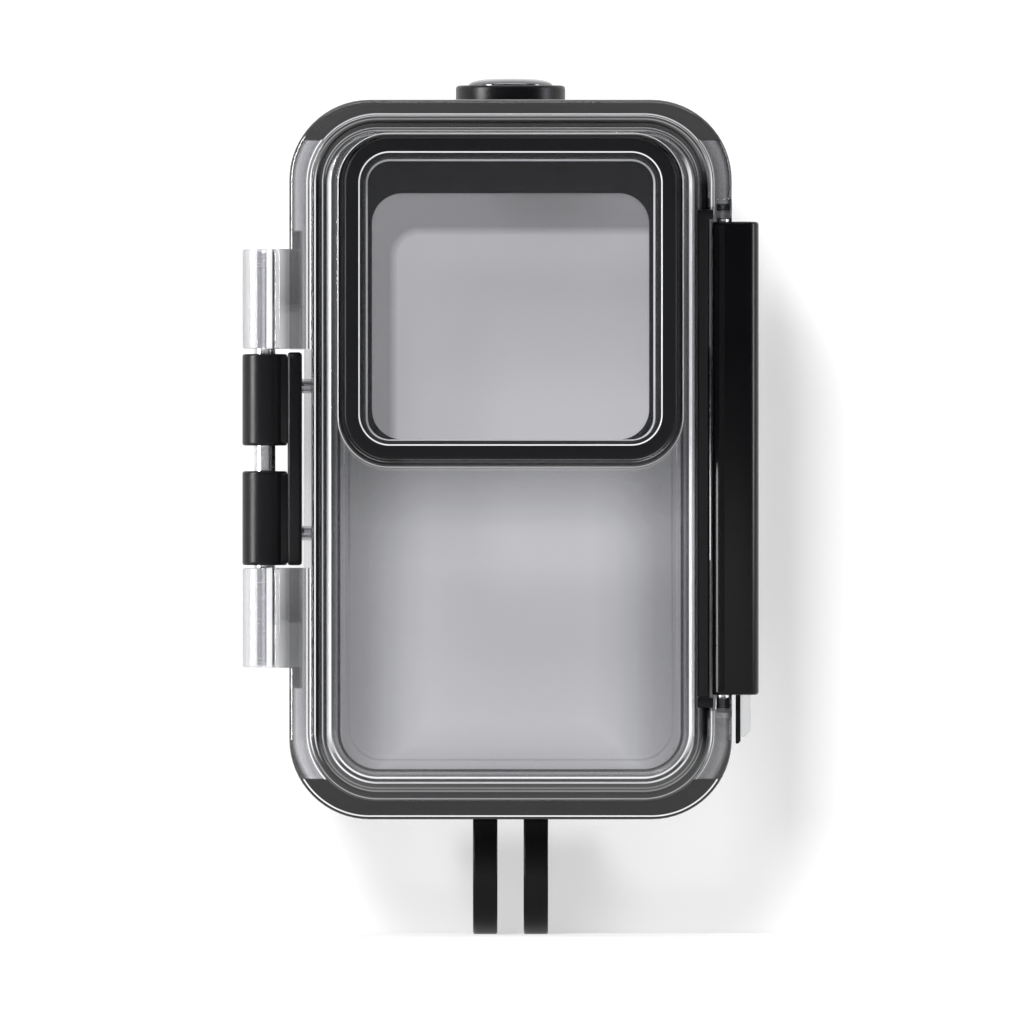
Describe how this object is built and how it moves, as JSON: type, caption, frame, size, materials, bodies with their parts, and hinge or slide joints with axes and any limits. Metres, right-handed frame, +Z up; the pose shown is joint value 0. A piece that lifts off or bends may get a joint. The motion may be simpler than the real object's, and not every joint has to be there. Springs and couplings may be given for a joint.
{
  "type": "action camera housing",
  "caption": "Clear waterproof housing for an upright action camera, with a lens port, hinged front cover, side latch, shutter button and two-finger mount.",
  "frame": {"origin": "centre of the two-finger mount's pivot hole, midway between the fingers", "axes": "+X towards the latch, -Y out of the lens port, +Z up towards the shutter button"},
  "size_m": [0.0631, 0.0359, 0.1046],
  "materials": {
    "clear": "smoke-tinted clear polycarbonate, polished",
    "glass": "optical glass, polished and coated",
    "black": "matte black nylon",
    "satin": "satin black plastic with fine grain",
    "silicone": "translucent grey silicone",
    "rubber": "matte black sealing rubber",
    "steel": "stainless steel, ground",
    "polished": "polished metal cap"
  },
  "bodies": {
    "case": {"rear_case": "clear", "cover_seal": "silicone", "hinge_leaf": "black", "hinge_pin": "steel", "hinge_screw_1": "steel", "hinge_screw_2": "steel", "catch_rail": "black", "cushion_left": "silicone", "cushion_right": "silicone", "button_collar": "black", "stem_seal": "rubber", "mount_fork": "black", "fork_screw_1": "steel", "fork_screw_2": "steel", "fork_screw_3": "steel", "fork_screw_4": "steel"},
    "cover": {"front_cover": "clear", "window_bezel": "black", "window_glass": "glass", "window_gasket": "rubber", "port_baffle": "black", "latch_base": "black", "latch_pin": "steel", "latch_spring": "steel"},
    "latch": {"latch_lever": "satin"},
    "lock": {"lock_slider": "black", "lock_grip": "clear"},
    "button": {"button_cap": "polished", "button_stem": "steel", "button_spring": "steel", "stem_clip": "steel", "stem_tip": "rubber"}
  },
  "joints": [
    {"name": "cover_hinge", "type": "hinge", "parent": "case", "child": "cover", "pos_m": [-0.03, -0.0126, 0.0506], "axis": [0, 0, -1], "range_deg": [0, 160]},
    {"name": "latch_hinge", "type": "hinge", "parent": "cover", "child": "latch", "pos_m": [0.0259, -0.0189, 0.0506], "axis": [0, 0, -1], "range_deg": [0, 90]},
    {"name": "lock_slide", "type": "slide", "parent": "latch", "child": "lock", "axis": [0, 0, 1], "range_m": [0, 0.003]},
    {"name": "button_press", "type": "slide", "parent": "case", "child": "button", "axis": [0, 0, -1], "range_m": [0, 0.0013], "stiffness_N_per_m": 600, "springref_m": -0.001, "deforming": ["button_spring"]}
  ]
}
